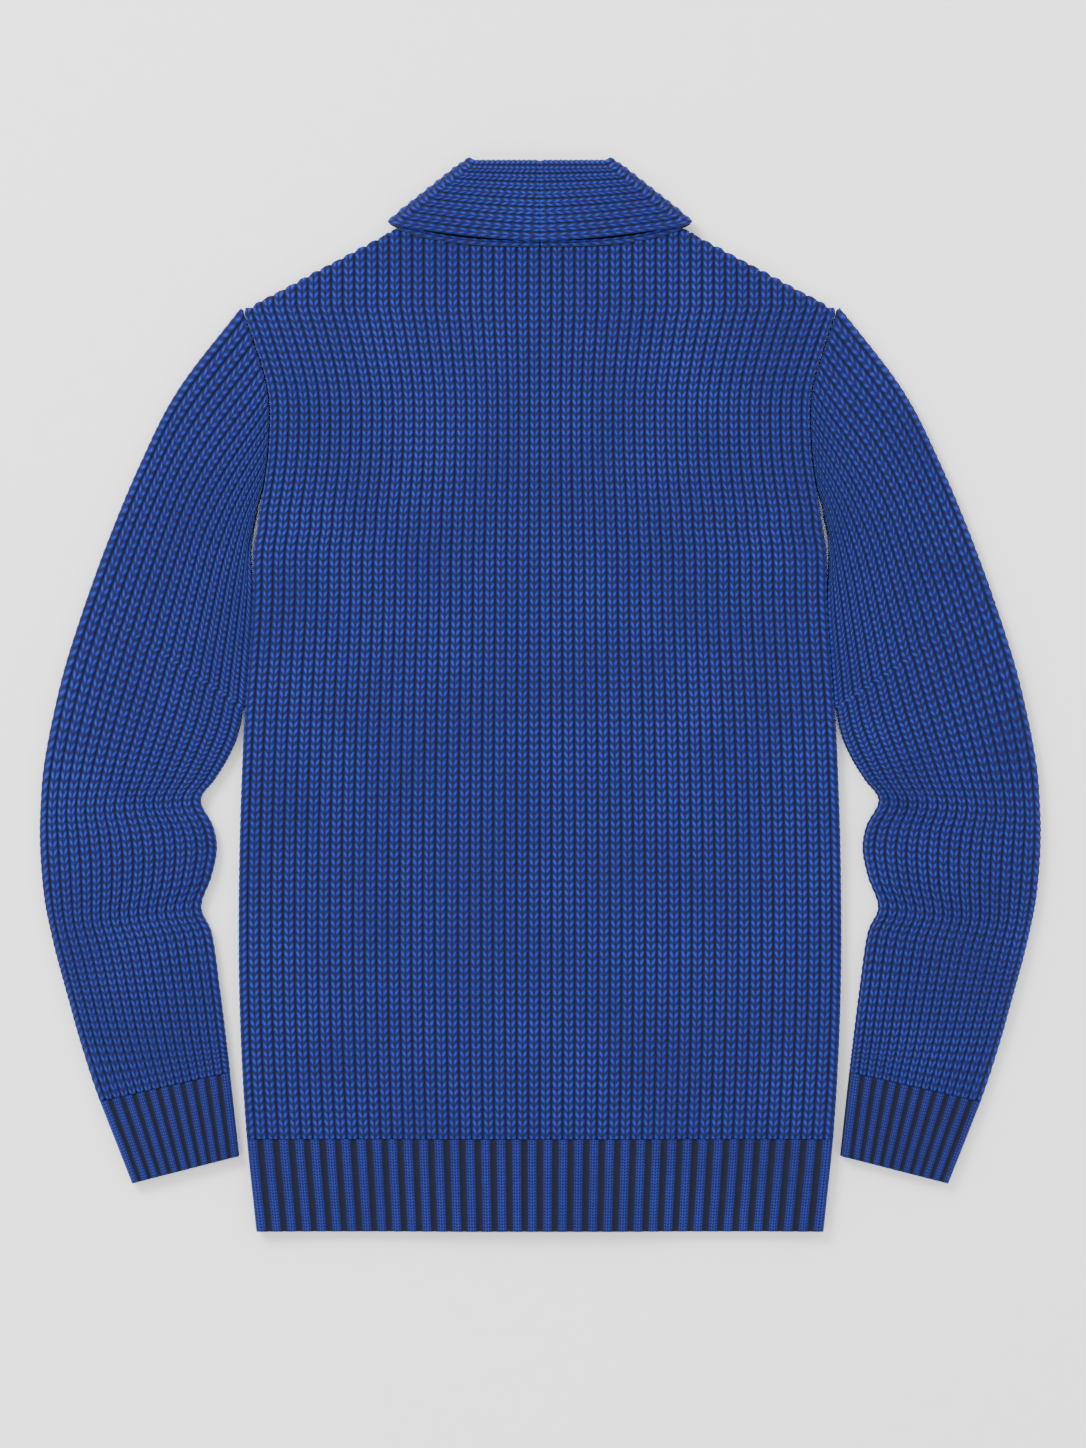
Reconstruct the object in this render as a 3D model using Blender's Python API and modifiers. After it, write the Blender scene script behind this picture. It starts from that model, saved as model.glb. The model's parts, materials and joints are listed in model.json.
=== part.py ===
"""Shawl collar cardigan in chunky knit, laid face down and flat, back uppermost.

Metres, +Z up, +Y toward the collar, the centre line on X = 0 and the surface it lies on at Z = 0.
Every piece of cloth is a middle surface, lofted from sections, with a Solidify of the knit's thickness.
The wearer's left is at -X. A piece's own side is counted positive, and mirrored for the left.
"""

import bpy
import numpy as np

# Driving sizes
WALL = 0.004  # thickness of the knit
RIPPLE = 0.00002  # the fronts' faint ripple, which keeps their flat parts in small faces
RIPPLE_X = 130
RIPPLE_Y = 55
SEAM = 0.0004  # gap between two pieces at a seam
SHOULDER_X = 0.2142  # half the width across the shoulder points
SHOULDER_Y = 0.2794
SHOULDER_RISE = 0.514  # rise of the shoulder line toward the neck, per metre across
UNDERARM_Y = 0.1303
RIB_Y = -0.3182  # top of the hem rib
HEM_Y = -0.3845
NECK_X = 0.1024  # where the shoulder seam meets the neck
NECK_CENTRE_Y = 0.3211
NECK_DIP = 0.0155
COLLAR_TOP_Y = 0.3802  # fold of the collar at the centre back
COLLAR_EDGE_Y = 0.3262  # free edge of the collar at the centre back
ROLL_END_Y = 0.165  # the lapel's roll starts here
BAND_X = 0.0282  # half the width of the front bands
BAND_FULL_Y = 0.055  # the bands overlap fully below this
BUTTON_Y = 0.045  # the top button
BUTTON_STEP = 0.095
BUTTON_COUNT = 5
BUTTON_D = 0.024
BUTTON_THICK = 0.0026
BUTTON_FLOOR = 0.0001  # the buttons' faces over what the cardigan lies on
BUTTON_CLEAR = 0.0003
BUTTON_HOLES_R = 0.0032
BUTTON_HOLE_D = 0.0022

# Heights of the middle surfaces over what the cardigan lies on
LOW = WALL / 2
LAPEL_LIFT = 0.0046  # a front over its lapel
BAND_LIFT = 0.0043  # one band over the other
SIDE_Z = 0.0098  # the back at its side seams, and the sleeves' upper side
OPEN_Z = 0.0082  # the back over the fronts, away from bands and lapels
MIDDLE_Z = 0.0108  # the back over the bands
CHEST_Z = 0.0112  # the back over the lapels
CURL_R = (SIDE_Z - LOW) / 2  # the turn of a panel's side to the panel below it
STAND_R = 0.0026  # the neck loop, flattened: its stand turns at this radius
FALL_R = 0.0072  # and its fall at this one, outside the stand
LOOP_Z = LOW + FALL_R
ROLL_R = (FALL_R - STAND_R) / 2

NECK_SIDE = (NECK_X - 0.0016, 0.3350)  # the axis round which the neck loop turns under, at its seam,
ROLL_SIDE = (0.0471, 0.3802)  # its roll
EDGE_SIDE = (0.1024, 0.3365)  # and its free edge

BODY = (  # y, half width: the outline of the body, and of the armhole above the underarm
    (HEM_Y, 0.2050),
    (RIB_Y, 0.2118),
    (-0.2333, 0.2167),
    (-0.1145, 0.2172),
    (-0.0288, 0.2142),
    (0.0691, 0.2078),
    (0.1094, 0.2063),
    (UNDERARM_Y, 0.2020),
    (0.1843, 0.1944),
    (0.2182, 0.1951),
    (0.2520, 0.2045),
    (SHOULDER_Y, SHOULDER_X),
)

SLEEVE = (  # outer x, outer y, inner x, inner y: the outline, section by section, armhole to cuff
    (0.2149, 0.2794, 0.2010, 0.1303),
    (0.2606, 0.2203, 0.2060, 0.0900),
    (0.2887, 0.1663, 0.2060, 0.0475),
    (0.3154, 0.1015, 0.2100, 0.0070),
    (0.3377, 0.0367, 0.2150, -0.0250),
    (0.3492, -0.0065, 0.2225, -0.0440),
    (0.3575, -0.0497, 0.2326, -0.0605),
    (0.3600, -0.0821, 0.2426, -0.0750),
    (0.3604, -0.1037, 0.2340, -0.0929),
    (0.3593, -0.1253, 0.2311, -0.1100),
    (0.3570, -0.1469, 0.2350, -0.1300),
    (0.3535, -0.1649, 0.2423, -0.1519),
    (0.3485, -0.1865, 0.2347, -0.1707),
    (0.3406, -0.2153, 0.2290, -0.2100),
    (0.3305, -0.2513, 0.2243, -0.2480),
    (0.3172, -0.2916, 0.2218, -0.2700),
)
CUFF_END = (0.2938, -0.3506, 0.2153, -0.3305)
CUFF_TOP_Z = 0.0088
UNDERARM_EASE = 0.0028  # the sleeve stands off the body's turned edge at the underarm

LAPEL = (  # seam x, seam y, roll x, roll y, edge x, edge y: the folded collar down a front
    (0.0955, 0.3080, 0.0440, 0.3480, 0.1230, 0.3100),
    (0.0860, 0.2740, 0.0370, 0.3050, 0.1290, 0.2680),
    (0.0740, 0.2350, 0.0280, 0.2560, 0.1150, 0.2280),
    (0.0620, 0.1970, 0.0195, 0.2080, 0.0800, 0.1930),
    (0.0515, ROLL_END_Y, 0.0124, ROLL_END_Y, 0.0270, ROLL_END_Y),
)

BAND = (  # y, x of the seam to the front, x of the free edge past the centre
    (HEM_Y, BAND_X, -BAND_X),
    (BAND_FULL_Y - 0.05, BAND_X, -BAND_X),
    (BAND_FULL_Y, 0.0290, -BAND_X),
    (0.1000, 0.0335, -0.0110),
    (0.1300, 0.0410, 0.0025),
    (ROLL_END_Y, 0.0515, 0.0124),
)

FOLDS = (  # side (0 both), x, y, angle in degrees, half length, half width, height: on the sleeves
    (-1, 0.278, -0.083, 35, 0.045, 0.009, -0.0020),
    (-1, 0.250, -0.066, 80, 0.022, 0.007, 0.0014),
    (1, 0.270, -0.085, 142, 0.035, 0.009, -0.0022),
    (1, 0.297, -0.154, 150, 0.040, 0.012, -0.0014),
    (0, 0.262, -0.148, 160, 0.030, 0.008, -0.0016),
    (0, 0.250, -0.112, 90, 0.026, 0.010, 0.0012),
    (0, 0.330, -0.020, 72, 0.090, 0.014, 0.0010),
)

BLUE = (0.010, 0.035, 0.330)
BUTTON_BLUE = (0.006, 0.012, 0.080)


def smooth_step(value, low, high):
    """0 below low and 1 above high, with a soft rise between."""
    part = np.clip((value - low) / (high - low), 0, 1)
    return part * part * (3 - 2 * part)


def through(at, knots, values):
    """A smooth curve through the values at rising knots, read at the places asked for."""
    knots, values = np.asarray(knots, float), np.asarray(values, float)
    slopes = np.gradient(values, knots)
    index = np.clip(np.searchsorted(knots, at) - 1, 0, len(knots) - 2)
    width = knots[index + 1] - knots[index]
    part = np.clip((at - knots[index]) / width, 0, 1)
    rest = 1 - part
    ends = values[index] * (1 + 2 * part) * rest**2 + values[index + 1] * (3 - 2 * part) * part**2
    return ends + width * part * rest * (slopes[index] * rest - slopes[index + 1] * part)


def half_width(y):
    """Half the width of the body at y."""
    return through(y, *np.transpose(BODY))


def shoulder_y(x):
    return SHOULDER_Y + (SHOULDER_X - x) * SHOULDER_RISE


def neck_y(x):
    """The back neck seam: nearly straight, rising to the shoulders."""
    return NECK_CENTRE_Y + NECK_DIP * np.abs(x / 0.11) ** 3


def band_seam(y):
    """The seam of a front to its band, and above the band to its collar."""
    rows = list(BAND) + [(row[1], row[0], 0) for row in LAPEL[-2::-1]] + [(0.3345, NECK_X, 0)]
    return through(y, *np.transpose(rows)[:2])


def lapel_reach(y):
    """How far a lapel reaches from the centre under its front."""
    rows = LAPEL[::-1]
    edge = through(y, [row[5] for row in rows], [row[4] for row in rows])
    return np.maximum(edge, band_seam(y))


def front_height(x, y, over_band):
    """Height of a front's middle surface; over_band is 1 on the side whose band is the inner one."""
    lapel = 1 - smooth_step(x - lapel_reach(y), 0.020, 0.055)
    lapel = lapel * smooth_step(y, 0.128, ROLL_END_Y)
    band = over_band * (1 - smooth_step(x, 0.036, 0.064)) * (1 - smooth_step(y, 0.17, 0.20))
    ripple = RIPPLE * (1 + np.sin(x * RIPPLE_X) * np.sin(y * RIPPLE_Y))
    return LOW + ripple + np.maximum(LAPEL_LIFT * lapel, BAND_LIFT * band)


def back_height(x, y):
    """Height of the back's middle surface, which lies over the fronts, the bands and the lapels."""
    x = np.abs(x)
    middle = (MIDDLE_Z - OPEN_Z) * (1 - smooth_step(x, 0.045, 0.115))
    over_lapel = (1 - smooth_step(x - lapel_reach(y), 0.035, 0.090)) * smooth_step(y, 0.06, 0.14)
    chest = (CHEST_Z - OPEN_Z) * over_lapel
    side = (SIDE_Z - OPEN_Z) * (1 - smooth_step(half_width(y) - x, 0.010, 0.050))
    neck = (LOOP_Z + STAND_R - OPEN_Z) * smooth_step(y, 0.27, 0.325) * (1 - smooth_step(x, 0.11, 0.16))
    top = (SIDE_Z - OPEN_Z) * smooth_step(y - shoulder_y(x), -0.05, -0.01)
    return OPEN_Z + np.maximum.reduce([middle, chest, side, neck, top])


def fold_height(x, y, side):
    """Troughs and ridges of the FOLDS table at a point of the sleeve on that side."""
    total = np.zeros_like(x)
    for where, fold_x, fold_y, angle, half_length, half_wide, height in FOLDS:
        if where not in (0, side):
            continue
        along = np.array((np.cos(np.radians(angle)), np.sin(np.radians(angle))))
        run = ((x - fold_x) * along[0] + (y - fold_y) * along[1]) / half_length
        off = ((y - fold_y) * along[0] - (x - fold_x) * along[1]) / half_wide
        total += height * np.exp(-(run**2) - off**2)
    return total


def steps(*parts):
    """Evenly spaced values from (start, end, count) parts joined end to end."""
    rows = [np.linspace(start, end, count, endpoint=False) for start, end, count in parts]
    return np.concatenate(rows + [[parts[-1][1]]])


def with_curl(flat, *ends):
    """Rows of (share of the flat stretch, share of the curl's reach, share of its drop).
    The curl past the flat stretch is a quarter turn that ends upright: -1 for one at its start, 1 at its end."""
    turn = ((0.7, 0.25), (1, 0.8), (1, 1))
    before = [(flat[0], *part) for part in turn[::-1]] if -1 in ends else []
    after = [(flat[-1], *part) for part in turn] if 1 in ends else []
    return np.array(before + [(share, 0, 0) for share in flat] + after)


def material(name, colour, roughness):
    made = bpy.data.materials.new(name)
    made.use_nodes = True
    shader = made.node_tree.nodes["Principled BSDF"]
    shader.inputs["Base Color"].default_value = (*colour, 1)
    shader.inputs["Roughness"].default_value = roughness
    made.diffuse_color = (*colour, 1)
    return made


def cloth(name, points, ring=False):
    """A loft through points[section, place] as one piece of knit; ring closes every section."""
    sections, places = points.shape[:2]
    index = np.arange(sections * places).reshape(sections, places)
    if ring:
        index = np.concatenate([index, index[:, :1]], axis=1)
    quads = np.stack([index[:-1, :-1], index[1:, :-1], index[1:, 1:], index[:-1, 1:]], axis=-1)
    mesh = bpy.data.meshes.new(name)
    mesh.from_pydata(points.reshape(-1, 3).tolist(), [], quads.reshape(-1, 4).tolist())
    mesh.shade_smooth()
    mesh.materials.append(material(name, BLUE, 0.9))
    made = bpy.data.objects.new(name, mesh)
    parts.objects.link(made)
    wall = made.modifiers.new("Wall", "SOLIDIFY")
    wall.thickness = WALL
    wall.offset = 0
    return made


def mirrored(points, side):
    """The points of a piece on its own side, put at that side and kept facing the same way."""
    return points if side > 0 else points[::-1] * (-1, 1, 1)


def side_curl(y):
    """1 where the side seam closes the body, 0 along the armhole."""
    return 1 - smooth_step(y, UNDERARM_Y - 0.012, UNDERARM_Y + 0.002)


def panel(columns, rows, reach, bottom, top, inner, height, other, top_curl):
    """A body panel from with_curl columns and rows, between y = bottom and y = top(reach), where
    reach is each column's x at the shoulder. It runs out to the body's outline from x = inner(y), or from
    the mirrored outline where inner is None. height(x, y) is its own height and other(x, y) that of
    the panel it is sewn to, which its side, and its top by top_curl, turn half way round to."""
    share, out, down = (columns[:, None, i] for i in range(3))
    rise, tip_out, tip_down = (rows[None, :, i] for i in range(3))
    inset = top_curl * WALL / 2 + (1 - top_curl) * SEAM / 2 + CURL_R
    y = bottom + rise * (top(reach) - inset - bottom)
    closed = side_curl(y)
    outer = half_width(y) - CURL_R - closed * WALL / 2 - (1 - closed) * SEAM / 2
    flat_x = outer * share if inner is None else inner(y) + (outer - inner(y)) * share
    z = height(flat_x, y)
    half_way = (other(flat_x, y) - z) / 2
    drop = half_way - 3 * np.sign(half_way) * SEAM
    x = flat_x + CURL_R * out * (np.sign(share) if inner is None else 1)
    y = y + CURL_R * tip_out
    return np.stack(np.broadcast_arrays(x, y, z + drop * (closed * down + top_curl * tip_down)), axis=-1)


def body_piece(name, side, bottom, top, rows, sewn_top):
    """A piece of the back (side 0) or of a front; sewn_top is 1 where its top is a shoulder."""
    over_band = max(side, 0)

    def front(x, y):
        return front_height(np.abs(x), y, over_band)

    if side == 0:
        flat = steps((-1, -0.93, 1), (-0.93, -0.50, 4), (-0.50, 0.50, 8), (0.50, 0.93, 4), (0.93, 1, 1))
        columns = with_curl(flat, -1, 1)
        reach = np.abs(columns[:, :1]) * SHOULDER_X
        top_curl = sewn_top * smooth_step(reach, NECK_X - 0.004, NECK_X + 0.006)
        points = panel(columns, rows, reach, bottom, top, None, back_height, front, top_curl)
        return cloth(name, points)
    columns = with_curl(steps((0, 0.30, 3), (0.30, 0.92, 5), (0.92, 1, 1)), 1)
    reach = NECK_X + (SHOULDER_X - NECK_X) * columns[:, :1]
    points = panel(columns, rows, reach, bottom, top, front_inner, front, back_height, sewn_top)
    if side > 0:
        points = points[::-1, ::-1]  # starts at the side seam, as the left front does
    return cloth(name, mirrored(points, side))


def front_inner(y):
    """The edge of a front along its band and its collar."""
    return band_seam(y) + 3 * SEAM


def back_top(x):
    return np.minimum(shoulder_y(x), neck_y(x) - 3 * SEAM)


def rib_top(x):
    return np.full_like(x, RIB_Y + CURL_R)


def body():
    """The back and the two fronts, each with its hem rib."""
    tall = with_curl(steps((0, 0.66, 5), (0.66, 0.95, 8), (0.95, 1, 1)), 1)
    short = with_curl(steps((0, 1, 3)))
    body_piece("back_panel", 0, RIB_Y + SEAM / 2, back_top, tall, 1)
    body_piece("back_hem_rib", 0, HEM_Y, rib_top, short, 0)
    for side, word in ((-1, "left"), (1, "right")):
        body_piece(f"front_panel_{word}", side, RIB_Y + SEAM / 2, shoulder_y, tall, 1)
        body_piece(f"front_hem_rib_{word}", side, HEM_Y, rib_top, short, 0)


def band(side, word):
    """A front band, flat from the hem to where the lapel starts to roll."""
    button_rows = BUTTON_Y - BUTTON_STEP * np.arange(BUTTON_COUNT)[::-1]
    y = np.concatenate([[HEM_Y], button_rows, [0.085, 0.110, 0.128, 0.147, ROLL_END_Y - SEAM]])
    y = np.sort(np.concatenate([y, (button_rows[1:] + button_rows[:-1]) / 2]))[None, :]
    table = np.transpose(BAND)
    seam, edge = through(y, table[0], table[1]), through(y, table[0], table[2])
    share = np.linspace(0, 1, 6)[:, None]
    x = edge + (seam - edge) * share
    z = front_height(np.abs(x), y, 1 if side > 0 else 0)
    points = np.stack(np.broadcast_arrays(x, y, z), axis=-1)
    return cloth(f"front_band_{word}", mirrored(points, side))


def stadium(outer, inner, bottom, top, crown):
    """A flattened ring for each section: a flat bottom, rounded ends and a slightly domed top."""
    arc = np.radians((-90, -45, 0, 45, 90))
    share = np.concatenate([np.zeros(5), [0.2, 0.4, 0.6, 0.8], np.ones(5), [0.75, 0.5, 0.25]])
    angle = np.concatenate([arc, np.full(4, np.pi / 2), arc[::-1], np.full(3, -np.pi / 2)])
    across = inner - outer
    length = np.linalg.norm(across, axis=1, keepdims=True)
    along = across / length
    radius = ((top - bottom) / 2)[:, None]
    inset = radius * (1 - np.cos(angle) * (share < 0.5) * (share == 0))
    inset = np.where(share == 1, length - radius * (1 - np.cos(angle)), inset)
    inset = np.where((share > 0) & (share < 1), radius + share * (length - 2 * radius), inset)
    plan = outer[:, None, :] + along[:, None, :] * inset[..., None]
    dome = crown[:, None] * np.sin(np.pi * share) * (angle == np.pi / 2)
    z = (top + bottom)[:, None] / 2 + radius * np.sin(angle) + dome
    return np.concatenate([plan, z[..., None]], axis=-1)


def edge_normals(points, toward):
    """Unit normals of an outline in plan, pointing to the other outline."""
    run = np.gradient(points, axis=0)
    normal = np.stack([-run[:, 1], run[:, 0]], axis=1)
    normal /= np.linalg.norm(normal, axis=1, keepdims=True)
    facing = np.sign(np.sum(normal * (toward - points), axis=1, keepdims=True))
    return normal * facing


def sleeve(side, word):
    """A sleeve, flattened, from the armhole to the cuff seam, and its cuff."""
    table = np.array(SLEEVE + (CUFF_END,))
    station = np.arange(len(table))
    at = np.concatenate([[0, 0.5], np.arange(1, 15), [14.5, 15]])
    read = np.stack([through(at, station, column) for column in table.T], axis=1)
    outer, inner = read[:, :2], read[:, 2:]
    beside = half_width(inner[:, 1]) + UNDERARM_EASE / 2
    inner[:, 0] = np.where(inner[:, 1] > -0.03, np.maximum(inner[:, 0], beside), inner[:, 0])
    middle_outer = outer + edge_normals(outer, inner) * WALL / 2
    middle_inner = inner + edge_normals(inner, outer) * WALL / 2
    bottom = np.full(len(at), LOW)
    top = np.full(len(at), SIDE_Z)
    top[-2:] = (CUFF_TOP_Z + SIDE_Z) / 2, CUFF_TOP_Z
    crown = 0.0006 * smooth_step(at, 0, 3) * (1 - smooth_step(at, 13, 15))
    points = stadium(middle_outer, middle_inner, bottom, top, crown)
    armhole_x = half_width(points[0, :, 1]) + 1.5 * SEAM
    armhole_x += UNDERARM_EASE * (1 - smooth_step(points[0, :, 1], UNDERARM_Y, UNDERARM_Y + 0.02))
    bow = armhole_x - points[0, :, 0]
    points[..., 0] += bow * ((1 - smooth_step(at, 0, 2))[:, None])
    upper = points[..., 2] > LOW + 0.75 * (SIDE_Z - LOW)
    points[..., 2] += upper * fold_height(points[..., 0], points[..., 1], side)
    cloth(f"sleeve_{word}", mirrored_ring(points, side), ring=True)
    cuff_at = np.linspace(0, 1, 4)[:, None]
    ends = np.array((SLEEVE[-1], CUFF_END))
    read = ends[0] + (ends[1] - ends[0]) * cuff_at
    gap = (ends[1] - ends[0]) / np.linalg.norm((ends[1] - ends[0])[:2]) * SEAM
    read[0] += gap
    outer, inner = read[:, :2], read[:, 2:]
    middle_outer = outer + edge_normals(outer, inner) * WALL / 2
    middle_inner = inner + edge_normals(inner, outer) * WALL / 2
    flat = np.full(4, LOW)
    points = stadium(middle_outer, middle_inner, flat, flat - LOW + CUFF_TOP_Z, flat * 0)
    cloth(f"cuff_{word}", mirrored_ring(points, side), ring=True)


def collar(side, word):
    """Half of the collar: from the centre back it runs to the neck side, turns under there with the
    flattened neck loop, and goes down the front as the lapel. Across, it goes from the neck seam over
    the stand to the roll, and back over the fall to its free edge."""
    stand = np.linspace(0, 1, 4)
    fall = np.linspace(0, 1, 5)
    roll_angle = np.radians((-45, 0, 45))
    across = np.concatenate([stand - 1, np.zeros(3), fall])
    radius = np.concatenate(
        [np.full(4, STAND_R), STAND_R + ROLL_R * (1 + np.sin(roll_angle)), np.full(5, FALL_R)]
    )
    bulge = ROLL_R * np.concatenate([np.zeros(4), np.cos(roll_angle), np.zeros(5)])
    # Where the loop turns: the neck seam, the roll and the free edge at the neck side
    seam_side, roll_side, edge_side = np.array((NECK_SIDE, ROLL_SIDE, EDGE_SIDE))

    def between(seam, roll, edge):
        """Points from the seam (-1) by the roll (0) to the free edge (1), for each section."""
        to_seam = np.clip(-across, 0, 1)[None, :, None]
        to_edge = np.clip(across, 0, 1)[None, :, None]
        seam, roll, edge = (np.atleast_2d(part)[:, None, :] for part in (seam, roll, edge))
        return roll + (seam - roll) * to_seam + (edge - roll) * to_edge

    back_at = np.linspace(0, 1, 5)[:, None]
    back_x = SEAM / 2 + (roll_side[0] - SEAM / 2) * back_at
    seam_x = SEAM / 2 + (seam_side[0] - SEAM / 2) * back_at
    back = between(
        np.hstack([seam_x, neck_y(seam_x) + 2 * SEAM]),
        np.hstack([back_x, COLLAR_TOP_Y + (roll_side[1] - COLLAR_TOP_Y) * back_at**3]),
        np.hstack([seam_x, COLLAR_EDGE_Y + (edge_side[1] - COLLAR_EDGE_Y) * back_at**1.6]),
    )
    turn_angle = np.radians((45, 90, 135))
    turned = np.repeat(between(seam_side, roll_side, edge_side), len(turn_angle), axis=0)
    rows = np.array(((*seam_side, *roll_side, *edge_side),) + LAPEL)
    station = np.arange(len(rows))
    front_at = np.arange(0, len(rows) - 0.5, 0.5)
    read = np.stack([through(front_at, station, column) for column in rows.T], axis=1)
    read[1:-1, 0] -= SEAM
    front = between(read[:, :2], read[:, 2:4], read[:, 4:])
    plan = np.concatenate([back, turned, front])
    angle = np.concatenate([np.zeros(5), turn_angle, np.full(len(read), np.pi)])
    # Outward at the neck side is square to the slope there, and swings round at its two ends
    swing = np.radians(53 - 26 * smooth_step(np.abs(across - 0.5), 0.28, 0.5) * (across >= 0))
    outward = np.stack([np.cos(swing), np.sin(swing)], axis=-1)[None]
    lean = np.radians(90 + 80 * smooth_step(angle, 0, np.pi))
    rolled = np.stack([np.cos(lean), np.sin(lean)], axis=-1)[:, None, :] * bulge[None, :, None]
    plan = plan + rolled + outward * (radius * np.sin(angle)[:, None])[..., None]
    z = LOOP_Z + radius * np.cos(angle)[:, None]
    points = np.concatenate([plan, z[..., None]], axis=-1)
    points = mirrored(points, side)
    cloth(f"collar_{word}", points)


def button(number, place):
    """A plain four-hole button, face down in the knit of the outer band."""
    bpy.ops.mesh.primitive_cylinder_add(
        vertices=24, radius=BUTTON_D / 2, depth=BUTTON_THICK, location=place, end_fill_type="NGON"
    )
    made = bpy.context.object
    made.name = f"button_{number}"
    move_to(made, parts)
    made.data.materials.append(material(made.name, BUTTON_BLUE, 0.35))
    made.data.shade_smooth()
    made.data.set_sharp_from_angle(angle=np.radians(40))
    for index in range(4):
        turn = np.pi * (index / 2 + 0.25)
        x, y = (BUTTON_HOLES_R * np.cos(turn), BUTTON_HOLES_R * np.sin(turn))
        cut(made, place + np.array((x, y, 0)), BUTTON_HOLE_D / 2, 2 * BUTTON_THICK, 12)


def cut(target, place, radius, depth, sides):
    """A round hole through the target."""
    bpy.ops.mesh.primitive_cylinder_add(vertices=sides, radius=radius, depth=depth, location=place)
    cutter = bpy.context.object
    cutter.name = f"cutter_{target.name}"
    move_to(cutter, cutters)
    cutter.hide_render = True
    cutter.display_type = "WIRE"
    hole = target.modifiers.new("Hole", "BOOLEAN")
    hole.operation = "DIFFERENCE"
    hole.object = cutter


def move_to(made, collection):
    for old_collection in list(made.users_collection):
        old_collection.objects.unlink(made)
    collection.objects.link(made)


def buttons(outer_band):
    """The buttons, each in the hollow that it presses in the outer band."""
    for number in range(BUTTON_COUNT):
        y = BUTTON_Y - BUTTON_STEP * number
        place = np.array((0, y, BUTTON_FLOOR + BUTTON_THICK / 2))
        button(number + 1, place)
        hollow = BUTTON_FLOOR + BUTTON_THICK + BUTTON_CLEAR
        cut(outer_band, (0, y, 0), BUTTON_D / 2 + BUTTON_CLEAR, 2 * hollow, 20)


def mirrored_ring(points, side):
    """As mirrored, for points whose places run round a ring."""
    return points[:, ::-1] if side > 0 else points * (-1, 1, 1)


def build():
    body()
    for side, word in ((-1, "left"), (1, "right")):
        front_band = band(side, word)
        if side < 0:
            buttons(front_band)
        sleeve(side, word)
        collar(side, word)


for old in list(bpy.data.objects):
    bpy.data.objects.remove(old)
parts = bpy.data.collections.new("Shawl collar cardigan")
cutters = bpy.data.collections.new("Cutters")
bpy.context.scene.collection.children.link(parts)
bpy.context.scene.collection.children.link(cutters)
build()
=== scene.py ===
import json

import bpy
import numpy as np
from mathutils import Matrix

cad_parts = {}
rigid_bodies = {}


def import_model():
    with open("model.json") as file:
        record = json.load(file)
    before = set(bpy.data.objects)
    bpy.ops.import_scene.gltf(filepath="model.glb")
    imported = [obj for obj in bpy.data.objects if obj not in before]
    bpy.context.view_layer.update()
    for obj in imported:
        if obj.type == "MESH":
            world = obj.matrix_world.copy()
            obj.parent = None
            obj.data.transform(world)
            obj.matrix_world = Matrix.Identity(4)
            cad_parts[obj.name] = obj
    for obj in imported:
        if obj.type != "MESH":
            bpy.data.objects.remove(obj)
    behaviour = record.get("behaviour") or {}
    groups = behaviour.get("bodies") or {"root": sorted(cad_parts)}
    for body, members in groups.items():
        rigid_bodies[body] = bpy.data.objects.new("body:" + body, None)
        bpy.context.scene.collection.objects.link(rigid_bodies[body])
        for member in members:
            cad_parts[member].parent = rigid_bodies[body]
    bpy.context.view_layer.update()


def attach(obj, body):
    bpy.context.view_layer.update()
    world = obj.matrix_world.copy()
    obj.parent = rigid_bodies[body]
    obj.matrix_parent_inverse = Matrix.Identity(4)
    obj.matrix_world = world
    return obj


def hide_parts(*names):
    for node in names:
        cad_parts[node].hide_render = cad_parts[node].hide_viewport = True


# %% [markdown]
# # Shawl collar cardigan: the knit, the folds and the light
#
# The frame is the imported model: a cardigan laid flat, face down. Each knitted solid is replaced by a
# skin of real wales. A wale is a ridge 8 mm wide and is modelled, because its shadow and its soft
# silhouette carry the look; the yarn inside a stitch is 1 mm across, and that is bump.

# %% Load the frame
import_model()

# %% [markdown]
# ## The garment's form
#
# The same sizes and short tables that the solids are worked out from, so each skin lies on its solid.

# %% Sizes
WALL = 0.004  # thickness of the knit
SEAM = 0.0004  # gap between two pieces at a seam
SHOULDER_X = 0.2142  # half the width across the shoulder points
SHOULDER_Y = 0.2794
SHOULDER_RISE = 0.514  # rise of the shoulder line toward the neck, per metre across
UNDERARM_Y = 0.1303
RIB_Y = -0.3182  # top of the hem rib
HEM_Y = -0.3845
NECK_X = 0.1024  # where the shoulder seam meets the neck
NECK_CENTRE_Y = 0.3211
NECK_DIP = 0.0155
COLLAR_TOP_Y = 0.3802  # fold of the collar at the centre back
COLLAR_EDGE_Y = 0.3262  # free edge of the collar at the centre back
ROLL_END_Y = 0.165  # the lapel's roll starts here
BAND_X = 0.0282  # half the width of the front bands
BAND_FULL_Y = 0.055  # the bands overlap fully below this
BUTTON_Y = 0.045  # the top button
BUTTON_STEP = 0.095
BUTTON_COUNT = 5

# Heights of the middle surfaces over what the cardigan lies on
LOW = WALL / 2
LAPEL_LIFT = 0.0046  # a front over its lapel
BAND_LIFT = 0.0043  # one band over the other
SIDE_Z = 0.0098  # the back at its side seams, and the sleeves' upper side
OPEN_Z = 0.0082  # the back over the fronts, away from bands and lapels
MIDDLE_Z = 0.0108  # the back over the bands
CHEST_Z = 0.0112  # the back over the lapels
CURL_R = (SIDE_Z - LOW) / 2  # the turn of a panel's side to the panel below it
STAND_R = 0.0026  # the neck loop, flattened: its stand turns at this radius
FALL_R = 0.0072  # and its fall at this one, outside the stand
LOOP_Z = LOW + FALL_R
ROLL_R = (FALL_R - STAND_R) / 2
NECK_SIDE = (NECK_X - 0.0016, 0.3350)  # the axis round which the neck loop turns under, at its seam,
ROLL_SIDE = (0.0471, 0.3802)  # its roll
EDGE_SIDE = (0.1024, 0.3365)  # and its free edge

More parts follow.
